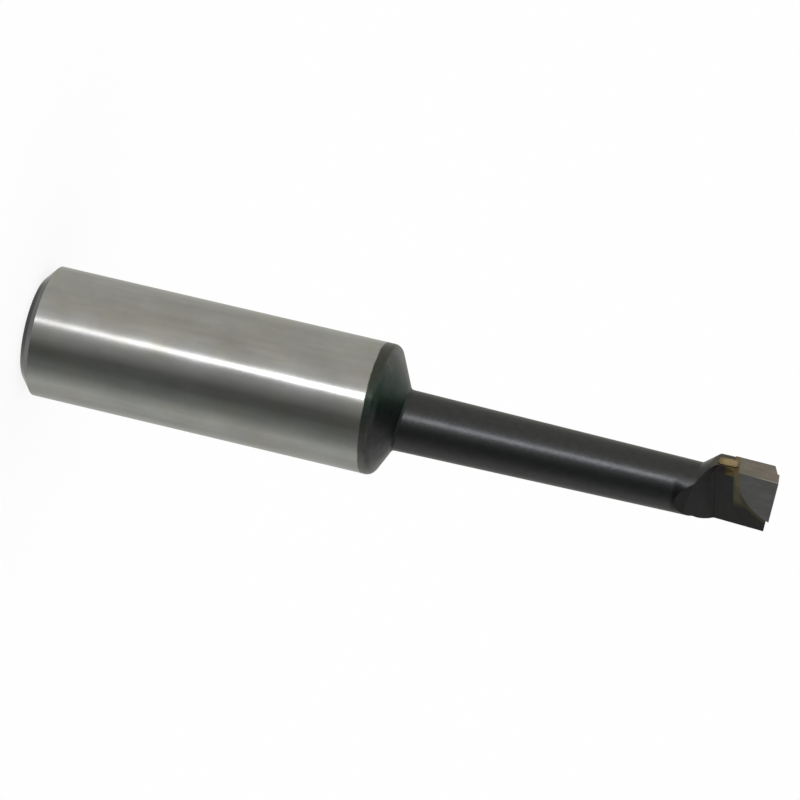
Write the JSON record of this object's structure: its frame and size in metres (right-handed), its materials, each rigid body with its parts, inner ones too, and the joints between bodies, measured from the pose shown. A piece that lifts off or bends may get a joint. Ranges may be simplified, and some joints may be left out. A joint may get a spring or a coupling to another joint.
{
  "type": "boring bar",
  "caption": "Carbide-tipped boring bar: ground cylindrical shank, slim eccentric neck and a half-round head with a small brazed cutting tip.",
  "frame": {"origin": "centre of the shank's flat back end face", "axes": "+Z along the shank axis towards the tip; the cutting edge looks along -X and the rake face along -Y"},
  "size_m": [0.0126, 0.0126, 0.073],
  "materials": {
    "steel_bar": "ground shank, black oxide from the rim to the head",
    "carbide": "ground sintered carbide, dull grey",
    "braze": "heat-stained brazing alloy"
  },
  "bodies": {
    "root": {"bar": "steel_bar", "carbide_tip": "carbide", "braze_joint": "braze"}
  },
  "joints": []
}
